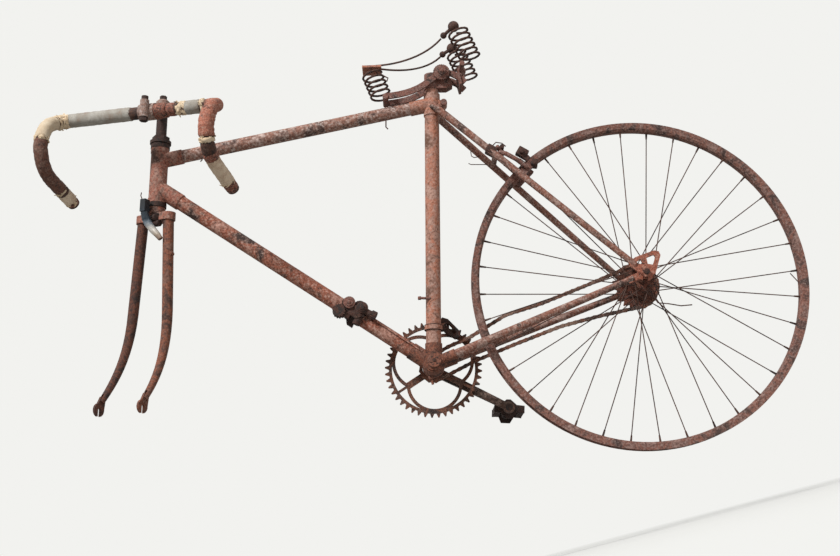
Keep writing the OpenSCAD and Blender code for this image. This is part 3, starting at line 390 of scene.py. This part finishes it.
def addStud(bm, start, end, radius, sides=12, tip=None, bevel=0.0):
    start, end = Vector(start), Vector(end)
    length = (end - start).length
    made = bmesh.ops.create_cone(bm, cap_ends=True, segments=sides, radius1=radius,
                                 radius2=radius if tip is None else tip, depth=length,
                                 matrix=aimed(start, end) @ Matrix.Translation((0, 0, length / 2)))
    if bevel:
        verts = set(made["verts"])
        rims = [e for e in bm.edges if e.verts[0] in verts and len(e.link_faces) == 2
                and max(len(f.verts) for f in e.link_faces) == sides]
        bmesh.ops.bevel(bm, geom=rims, offset=bevel, offset_type="OFFSET", affect="EDGES", segments=2, profile=0.5,
                        material=-1)


def addWire(bm, points, radius, sides=8, closed=False):
    # a bent wire: one circle extruded along the points, turned at each
    points = [Vector(p) for p in points]
    ring = None
    first = None
    spin = None
    for i, point in enumerate(points):
        ahead = points[(i + 1) % len(points)] if closed else points[min(i + 1, len(points) - 1)]
        back = points[i - 1] if closed else points[max(i - 1, 0)]
        along = (ahead - back).normalized()
        if spin is None:
            spin = along.to_track_quat("Z", "Y")
        else:
            spin = spin.to_matrix().col[2].rotation_difference(along) @ spin
        turn = Matrix.Translation(point) @ spin.to_matrix().to_4x4()
        size = radius[i] if isinstance(radius, list) else radius
        made = bmesh.ops.create_circle(bm, cap_ends=False, segments=sides, radius=size, matrix=turn)["verts"]
        edges = list({e for v in made for e in v.link_edges})
        if ring:
            bmesh.ops.bridge_loops(bm, edges=ring + edges)
        else:
            first = edges
        ring = edges
    if closed:
        bmesh.ops.bridge_loops(bm, edges=ring + first)
    else:
        bmesh.ops.contextual_create(bm, geom=first)
        bmesh.ops.contextual_create(bm, geom=ring)


def addBlock(bm, centre, size, tilt, bevel=0.001):
    # a bevelled block, leaned about Y by tilt degrees
    turn = Matrix.Translation(centre) @ Matrix.Rotation(math.radians(tilt), 4, "Y")
    made = bmesh.ops.create_cube(bm, size=1, matrix=turn @ Matrix.Diagonal((*[v / 1000 for v in size], 1)))
    edges = list({e for v in made["verts"] for e in v.link_edges})
    bmesh.ops.bevel(bm, geom=edges, offset=bevel, offset_type="OFFSET", affect="EDGES", segments=2, profile=0.5,
                    material=-1)


def addKnurled(bm, start, end, radius, ribs, depth):
    # a short barrel with ribs round it
    place = aimed(start, end)
    length = (Vector(end) - Vector(start)).length
    rings = []
    count = 4 * ribs
    for z in (0, length):
        ring = []
        for k in range(count):
            a, size = 2 * math.pi * k / count, radius - depth * (k % 4 > 1)
            ring.append(bm.verts.new(place @ Vector((size * math.cos(a), size * math.sin(a), z))))
        rings.append(ring)
    for k in range(count):
        n = (k + 1) % count
        bm.faces.new([rings[0][k], rings[0][n], rings[1][n], rings[1][k]])
    bm.faces.new(list(reversed(rings[0])))
    bm.faces.new(rings[1])


bodyOf = {node: body for body, nodes in frame["record"]["behaviour"]["bodies"].items() for node in nodes}
crankCentre = jointPlace["crank_spin"]
wheelCentre = jointPlace["rear_wheel_spin"]


def fromCrank(point):
    # millimetres from the crank axis, x to the rear and z up
    return crankCentre + Vector(point) / 1000


# chain: one loop of real links, seized in place
chainShape = {"sprocketRadius": 42.6, "wrapRadius": 24.7, "middle": 33.5, "pitch": 12.7, "plateHalf": 3.9,
              "upper": [(330, 84), (230, 70), (161, 66), (120, 53), (80, 40), (40, 34)],
              "lower": [(80, -6), (160, 6), (256, 18), (330, 19)]}


def makeChain(s):
    axle = (wheelCentre - crankCentre) * 1000

    def arc(x, z, radius, degrees):
        return [(x + radius * math.cos(math.radians(a)), z + radius * math.sin(math.radians(a))) for a in degrees]

    route = arc(axle.x, axle.z, s["sprocketRadius"], range(104, 121, 8)) + s["upper"] + \
        arc(0, 0, s["wrapRadius"], range(78, 271, 12)) + s["lower"] + \
        arc(axle.x, axle.z, s["sprocketRadius"], range(-104, 104, 8))
    route = [Vector(p) for p in route]
    lengths = [(route[(i + 1) % len(route)] - p).length for i, p in enumerate(route)]
    count = 2 * round(sum(lengths) / s["pitch"] / 2)
    step, pins, walked, leg = sum(lengths) / count, [], 0.0, 0
    for i in range(count):
        while walked + lengths[leg] < i * step:
            walked += lengths[leg]
            leg += 1
        share = (i * step - walked) / lengths[leg]
        pins.append(route[leg].lerp(route[(leg + 1) % len(route)], share))
    bm = bmesh.new()
    chance = random.Random(4)
    for i, pin in enumerate(pins):
        after = pins[(i + 1) % count]
        outer = i % 2
        half = 3.5 if outer else 2.5
        place = fromCrank((pin.x, s["middle"], pin.y))
        addStud(bm, place - Vector((0, 0.0036, 0)), place + Vector((0, 0.0036, 0)), 0.0017, 8)
        addStud(bm, place - Vector((0, 0.0015, 0)), place + Vector((0, 0.0015, 0)), 0.0038, 10)
        along = (after - pin).normalized()
        across = Vector((-along.y, along.x)) * s["plateHalf"]
        tilt = chance.uniform(-0.25, 0.25)
        outline = []
        for centre, sign in ((pin, -1), (after, 1)):
            for degrees in (-70, -25, 25, 70):
                a = math.radians(degrees)
                outline.append(centre + sign * (along * s["plateHalf"] * math.cos(a) + across * math.sin(a)))
            waist = pin.lerp(after, 0.5) + sign * across * 0.72
            outline.append(waist)
        for side in (-1, 1):
            faces = []
            for y in (side * half, side * (half - 0.9)):
                faces.append([bm.verts.new(fromCrank((p.x, s["middle"] + y + tilt, p.y))) for p in outline])
            bm.faces.new(faces[0])
            bm.faces.new(list(reversed(faces[1])))
            for k in range(len(outline)):
                n = (k + 1) % len(outline)
                bm.faces.new([faces[0][k], faces[0][n], faces[1][n], faces[1][k]])
    piece = finishPiece("chainLinks", bm, "chainRust", bodyOf["chain"], 40)
    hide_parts("chain")
    print("chain:", count, "links")


makeChain(chainShape)

# handlebar: what is left of the cotton tape, and scabs of rust
barShape = {"tilt": -28, "reach": (-86, 0, 163.5), "twist": 74.5, "lean": 14.5, "below": 10, "radius": 12.0,
            "straight": 137, "bend": 32, "half": 169, "hook": 59, "turn": 137, "end": 84}


def barLine(side, s):
    # centre line in the row frame from the middle of the bar to one end, a point every 1.5 mm
    points, u = [], 0.0
    bendEnd = s["straight"] + s["bend"] * math.pi / 2
    hookEnd = bendEnd + s["hook"] * math.radians(s["turn"])
    low = math.radians(90 + s["turn"])
    while u <= hookEnd + s["end"]:
        if u <= s["straight"]:
            p = (0, side * u, 0)
        elif u <= bendEnd:
            a = (u - s["straight"]) / s["bend"]
            p = (s["bend"] * (math.cos(a) - 1), side * (s["straight"] + s["bend"] * math.sin(a)), 0)
        elif u <= hookEnd:
            a = math.pi / 2 + (u - bendEnd) / s["hook"]
            p = (-s["bend"] + s["hook"] * math.cos(a), side * s["half"], s["hook"] * (math.sin(a) - 1))
        else:
            d = u - hookEnd
            p = (-s["bend"] + s["hook"] * math.cos(low) - d * math.sin(low), side * s["half"],
                 s["hook"] * (math.sin(low) - 1) + d * math.cos(low))
        points.append(Vector(p))
        u += 1.5
    place = Matrix.Rotation(math.radians(s["lean"]), 3, "Y") @ Matrix.Rotation(math.radians(s["twist"]), 3, "Z")
    tilt = Matrix.Rotation(math.radians(s["tilt"]), 3, "Y")
    base = jointPlace["steering_turn"] - jointAxis["steering_turn"] * s["below"] / 1000
    return [base + place @ (tilt @ p + Vector(s["reach"])) / 1000 for p in points]


def barFrames(points):
    frames, turn = [], None
    for i, p in enumerate(points):
        along = (points[min(i + 1, len(points) - 1)] - points[max(i - 1, 0)]).normalized()
        if turn is None:
            turn = along.to_track_quat("Z", "Y").to_matrix()
        else:
            turn = turn.col[2].rotation_difference(along).to_matrix() @ turn
        frames.append((p, turn.copy()))
    return frames


# each zone: side, from and to along the bar in mm, kind, thickness in mm, how rough
barZones = [
    (-1, 25, 59, "scab", 2.6, 1.3), (-1, 59, 76, "scab", 0.8, 0.5), (-1, 77, 99, "ragged", 1.4, 0.9),
    (-1, 96, 128, "tape", 1.3, 0.3), (-1, 126, 138, "ragged", 2.2, 1.2), (-1, 139, 216, "hook", 0.9, 0.55),
    (-1, 214, 272, "hook", 2.4, 1.5), (-1, 271, 282, "ragged", 2.4, 1.0), (-1, 281, 302, "band", 1.5, 0.4),
    (-1, 301, 315, "scab", 1.9, 0.8), (-1, 313, 384, "drab", 1.4, 0.35), (-1, 380, 386, "ragged", 2.0, 0.8),
    (-1, 384, 410, "scab", 0.7, 0.5),
    (1, 16, 151, "tape", 1.3, 0.3), (1, 149, 177, "ragged", 1.6, 1.2), (1, 178, 241, "cream", 1.5, 0.4),
    (1, 239, 247, "ragged", 2.2, 1.1), (1, 245, 361, "farScab", 1.1, 0.8), (1, 359, 364, "ragged", 2.0, 0.9),
    (1, 363, 372, "band", 1.5, 0.4), (1, 371, 401, "drab", 1.4, 0.35), (1, 399, 404, "ragged", 1.9, 0.7),
    (1, 402, 411, "scab", 0.7, 0.5),
]
barFinishes = {"scab": "scabbyBarRust", "hook": "hookBarRust", "farScab": "farBarRust", "band": "darkBarRust",
               "tape": "cottonBarTape", "drab": "drabBarTape", "cream": "creamBarTape", "ragged": "tornTapeEdge"}
windings = ("tape", "drab", "cream")


def makeBarCover(zones, s):
    frames = {side: barFrames(barLine(side, s)) for side in (-1, 1)}
    chance = random.Random(11)
    sides = 28
    for kind, finish in barFinishes.items():
        bm = bmesh.new()
        for number, (side, start, end, zoneKind, thick, rough) in enumerate(zones):
            if zoneKind != kind:
                continue
            first, last = round(start / 1.5), min(round(end / 1.5), len(frames[side]) - 2)
            rings = []
            for i in range(first, last + 1):
                centre, turn = frames[side][i]
                edge = min(i - first, last - i)
                ring = []
                for k in range(sides):
                    a = 2 * math.pi * k / sides
                    out = turn @ Vector((math.cos(a), math.sin(a), 0))
                    spot = centre + out * s["radius"] / 1000
                    bite = noise.fractal(spot * 120 + Vector((number, 0, 0)), 0.8, 2.0, 4)
                    tall = thick + rough * bite
                    if kind in windings:
                        # wound on at a slant, each turn lapping over the last
                        turns = (i * 1.5 + a / (2 * math.pi) * 17) / 17 % 1.0
                        tall += 0.55 * (turns - 0.5)
                    if kind == "ragged":
                        tall = tall + 1.2 * bite if bite > -0.12 else -0.4
                    worn = 1.3 * noise.noise(spot * 260 + Vector((0, number, 3)))
                    if edge < 2.2 + worn:
                        tall = min(tall, -0.35 if edge < 0.8 + worn else tall * 0.8)
                    ring.append(bm.verts.new(centre + out * (s["radius"] + tall) / 1000))
                rings.append(ring)
            for lower, upper in zip(rings, rings[1:]):
                for k in range(sides):
                    bm.faces.new([lower[k], lower[(k + 1) % sides], upper[(k + 1) % sides], upper[k]])
            bm.faces.new(list(reversed(rings[0])))
            bm.faces.new(rings[-1])
            if kind == "ragged":
                for _ in range(max(5, (end - start) // 2)):
                    centre, turn = frames[side][chance.randint(first, last)]
                    addFlap(bm, centre, turn @ Matrix.Rotation(chance.uniform(0, 6.28), 3, "Z"), s["radius"], chance)
        piece = finishPiece("bar" + kind[0].upper() + kind[1:], bm, finish, "steering")
        if kind == "tape":
            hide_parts("bar_tape_left", "bar_tape_right")


def addFlap(bm, centre, turn, radius, chance):
    # a torn strip of tape that curls away from the bar
    width, length, curl = chance.uniform(2, 5), chance.uniform(4, 9), chance.uniform(0.5, 1.6)
    rows = []
    for i in range(5):
        t = i / 4
        lift = radius + 0.8 + 4.2 * math.sin(min(t * curl, 1.5)) * t
        spin = Matrix.Rotation(t * length / radius, 3, "Z")
        narrow = width * (1 - 0.35 * t) * chance.uniform(0.8, 1.1)
        for drop in (0, -0.6):
            rows.append([bm.verts.new(centre + turn @ spin @ Vector((lift + drop, 0, z)) / 1000)
                         for z in (-narrow / 2, narrow / 2)])
    for i in range(0, 8, 2):
        top, under, nextTop, nextUnder = rows[i], rows[i + 1], rows[i + 2], rows[i + 3]
        bm.faces.new([top[0], top[1], nextTop[1], nextTop[0]])
        bm.faces.new([under[0], nextUnder[0], nextUnder[1], under[1]])
        bm.faces.new([top[0], nextTop[0], nextUnder[0], under[0]])
        bm.faces.new([top[1], under[1], nextUnder[1], nextTop[1]])
    bm.faces.new([rows[0][0], rows[1][0], rows[1][1], rows[0][1]])
    bm.faces.new([rows[8][0], rows[8][1], rows[9][1], rows[9][0]])


makeBarCover(barZones, barShape)
print("handlebar cover made")

# wires, hooks and broken ends that are still on the frame: mm from the crank axis
wireSettings = [
    {"name": "cableHook", "body": "frame", "radius": 0.9,
     "path": [(186.5, 28.6, 409), (181.5, 26.5, 403), (180.8, 26, 399.1), (180.1, 26, 392.8), (184.1, 26, 388.5),
              (191.1, 26, 387.8), (197, 26, 390.6)]},
    {"name": "looseCableEnd", "body": "frame", "radius": 0.9, "path": [(170.9, 29, 380.3), (175, 29, 376.8),
     (205.7, 29, 368.9), (213, 31.5, 369)]},
    {"name": "topTubeHookFront", "body": "frame", "radius": 1.3,
     "path": [(-333.2, -6, 522), (-333.2, -6, 516.4), (-335.7, -6, 504.1), (-339.2, -6, 501.8)]},
    {"name": "topTubeHookRear", "body": "frame", "radius": 1.3,
     "path": [(31.6, -6, 499), (31.6, -6, 494.1), (28.5, -6, 481.8), (31.3, -6, 476.7)]},
    {"name": "downTubeStrip", "body": "frame", "radius": 1.6, "finish": "downTubeRust",
     "path": [(-89.2, -15, 110.5), (-70, -15.5, 89.5), (-51.6, -15.5, 68.2), (-33, -15.5, 47.5), (-15.9, -15, 27.7)]},
    {"name": "bentHubWire", "body": "rear_wheel", "radius": 1.1,
     "path": [(420, -33.5, 40), (422, -38, 33), (430.6, -40, 2.7),
              (450, -40, -4.2), (470.5, -40, -13.4), (491, -40, -16.7)]},
    {"name": "noseWireHook", "body": "frame", "radius": 1.5,
     "path": [(38, -10, 598), (43.5, -10, 590.6), (50.7, -10, 586.5), (57.4, -10, 580.4), (53.9, -10, 574.6),
              (48.6, -10, 578.2)]},
    {"name": "brokenSpokeEnd", "body": "rear_wheel", "radius": 1.0,
     "path": [(718.3, 0, -33.5), (712, 0.5, -16), (704, 2, 2.7)]},
    {"name": "brakeCableStub", "body": "steering", "radius": 1.0,
     "path": [(-461, -27.6, 443.5), (-460.5, -27.8, 446), (-461.5, -28, 453), (-459, -28, 459)]},
    {"name": "rearCableStub", "body": "frame", "radius": 1.1,
     "path": [(246, -6, 384), (240, -7, 392), (229, -9, 396), (221, -9, 391)]},
    {"name": "rearBrakeSpring", "body": "frame", "radius": 1.1,
     "path": [(232, -20, 372), (247, -24, 356), (262, -26, 345), (275, -26, 330), (262, -25, 318)]},
]
for s in wireSettings:
    bm = bmesh.new()
    addWire(bm, [fromCrank(p) for p in s["path"]], s["radius"] / 1000)
    finishPiece(s["name"], bm, s.get("finish", "springRust"), s["body"])

# bolts, bosses, nuts and rings: ends in mm from the crank axis, radius, sides
studSettings = [
    {"name": "cableStopPeg", "node": "seat_tube", "finish": "saddleSteelRust",
     "studs": [((6.2, -14, 128), (30, -11, 121.6), 2.6, 10), ((3, -13, 128.6), (8, -14.5, 127.4), 3.6, 10)]},
    {"name": "forkBladeBoss", "node": "fork_blade_left", "finish": "forkRust",
     "studs": [((-427.7, -16, 327.6), (-427.7, -26, 327.6), 4.2, 12),
               ((-427.7, -26, 327.6), (-427.7, -28, 327.6), 2.4, 8)]},
    {"name": "bracketOilNib", "node": "bottom_bracket_shell", "finish": "shellRust",
     "studs": [((-10.7, 0, -20), (-10.7, 0, -35), 2.6, 10), ((-10.7, 0, -18), (-10.7, 0, -25), 5.0, 12)]},
    {"name": "hubLockBolt", "node": "rear_axle", "finish": "oilyDarkRust",
     "studs": [((419, -75, 58), (419, -80, 58), 5.6, 12), ((419, 66, 58), (419, 73, 58), 8.4, 6)]},
    {"name": "cupPinHoles", "node": "spindle", "finish": "oilyDarkRust",
     "studs": [((7.5 * math.cos(a), -51.5, 7.5 * math.sin(a)), (7.5 * math.cos(a), -52.4, 7.5 * math.sin(a)), 1.5, 8)
               for a in (0.4, 1.97, 3.54, 5.11)] + [((0, -51.5, 0), (0, -53, 0), 3.4, 14)]},
    {"name": "shifterFittings", "node": "shift_levers", "finish": "oilyDarkRust",
     "knurled": [((-146.9, -8, 140.2), (-146.9, -27, 140.2), 12.5, 14, 1.6),
                 ((-90, -20, 119), (-83, -21, 112.6), 8.5, 12, 1.2)],
     "blocks": [((-138, -16, 133), (22, 12, 12), 40), ((-118, -17, 132), (22, 12, 22), 42)],
     "studs": [((-103.5, -21, 134.5), (-103.5, -26, 134.5), 11.2, 20),
               ((-103.5, -26, 134.5), (-103.5, -28.4, 134.5), 8.2, 18),
               ((-103.5, -28, 134.5), (-103.5, -31, 134.5), 4.6, 12), ((-100, -18, 128), (-85, -19, 114), 6.6, 12),
               ((-112, -14, 122), (-123, -15, 108), 7.6, 12), ((-114, -20, 142), (-112, -19, 118), 6.0, 12)]},
    {"name": "shifterBoss", "node": "shift_levers", "finish": "saddleSteelRust",
     "studs": [((-124.6, -21, 150.3), (-124.6, -27, 150.3), 11.4, 24),
               ((-124.6, -26, 150.3), (-124.6, -29, 150.3), 7.4, 18),
               ((-124.6, -28, 150.3), (-124.6, -31, 150.3), 3.2, 8)]},
    {"name": "rearBrakeNuts", "node": "rear_brake", "finish": "oilyDarkRust",
     "studs": [((238, -12, 384.5), (238, 14, 384.5), 4.6, 10), ((283, -26, 329), (283, -36, 329), 5.2, 6),
               ((270, -18, 361), (270, -26, 361), 4.4, 12)],
     "blocks": [((272, -12, 361), (21, 14, 18), 45), ((279, -14, 345), (11, 9, 32), -28),
                ((268, -12, 328), (20, 14, 15), 45), ((287, -20, 331), (13, 12, 17), 20),
                ((212, -27, 375), (19, 25, 15), 45)]},
    {"name": "saddleClampFaces", "node": "saddle_clamp", "finish": "saddleSteelRust",
     "studs": []},
    # painted shade: dark studs on the crown stand for the brake pivot and the shadow under the crown
    {"name": "brakeCaliperPaintedShade", "node": "fork_crown", "finish": "greaseAndPaintedShadeRust",
     "studs": [((-449, -10, 409), (-440, -21, 405), 8.5, 14), ((-447, -14, 396), (-438, -20, 393), 6.5, 12),
               ((-452, -16, 404), (-456, -22, 404), 4.5, 6)]},
    {"name": "bandEdges", "node": "front_derailleur", "finish": "greaseAndPaintedShadeRust",
     "studs": [((16.0, 0, 63.4), (16.36, 0, 64.8), 17.3, 32), ((18.3, 0, 72.6), (18.66, 0, 74.0), 17.3, 32)]},
]
clampAxis = -crankCentre * 1000                     # the clamp's axis is the origin of the row frame
clampStuds = next(s["studs"] for s in studSettings if s["name"] == "saddleClampFaces")
for side in (-1, 1):
    for start, end, radius, sides in ((24, 25.6, 13.4, 28), (25, 27.2, 10.6, 24), (29, 33, 4.0, 12)):
        clampStuds.append(((clampAxis.x, side * start, clampAxis.z), (clampAxis.x, side * end, clampAxis.z),
                           radius, sides))
for k in range(24):
    # teeth of the two locking washers
    a = 2 * math.pi * k / 24
    out = Vector((math.cos(a), 0, math.sin(a)))
    for side in (-1, 1):
        root = Vector((clampAxis.x, side * 22, clampAxis.z))
        clampStuds.append((tuple(root + out * 14), tuple(root + out * 16.6), 1.9, 6))
for s in studSettings:
    bm = bmesh.new()
    for centre, size, tilt in s.get("blocks", []):
        addBlock(bm, fromCrank(centre), size, tilt)
    for start, end, radius, ribs, depth in s.get("knurled", []):
        addKnurled(bm, fromCrank(start), fromCrank(end), radius / 1000, ribs, depth / 1000)
    for start, end, radius, sides in s["studs"]:
        addStud(bm, fromCrank(start), fromCrank(end), radius / 1000, sides, bevel=min(radius * 0.12, 0.8) / 1000)
    finishPiece(s["name"], bm, s["finish"], bodyOf[s["node"]], 35)
print("wires and bolts made")

# spokes: nipples at the rim
nippleSettings = {"count": 36, "flange": 19, "rimInside": 304.5, "lead": 6, "length": 12}


def makeNipples(s):
    bm = bmesh.new()
    per = s["count"] // 2
    for side in (0, 1):
        for i in range(per):
            lead = 1 if i % 2 == 0 else -1
            a = 2 * math.pi * i / per + side * math.pi / per
            b = a + lead * 2 * math.pi / s["count"] * s["lead"]
            hub = Vector((s["flange"] * math.cos(a), -34 if side == 0 else 24, s["flange"] * math.sin(a)))
            edge = Vector((s["rimInside"] * math.cos(b), -3 if side == 0 else 3, s["rimInside"] * math.sin(b)))
            back = (hub - edge).normalized()
            addStud(bm, wheelCentre + (edge - back * 0.6) / 1000, wheelCentre + (edge + back * s["length"]) / 1000,
                    0.0022, 8, tip=0.0016)
    finishPiece("spokeNipples", bm, "spokeRust", "rear_wheel", 40)


makeNipples(nippleSettings)
print("spoke nipples made")
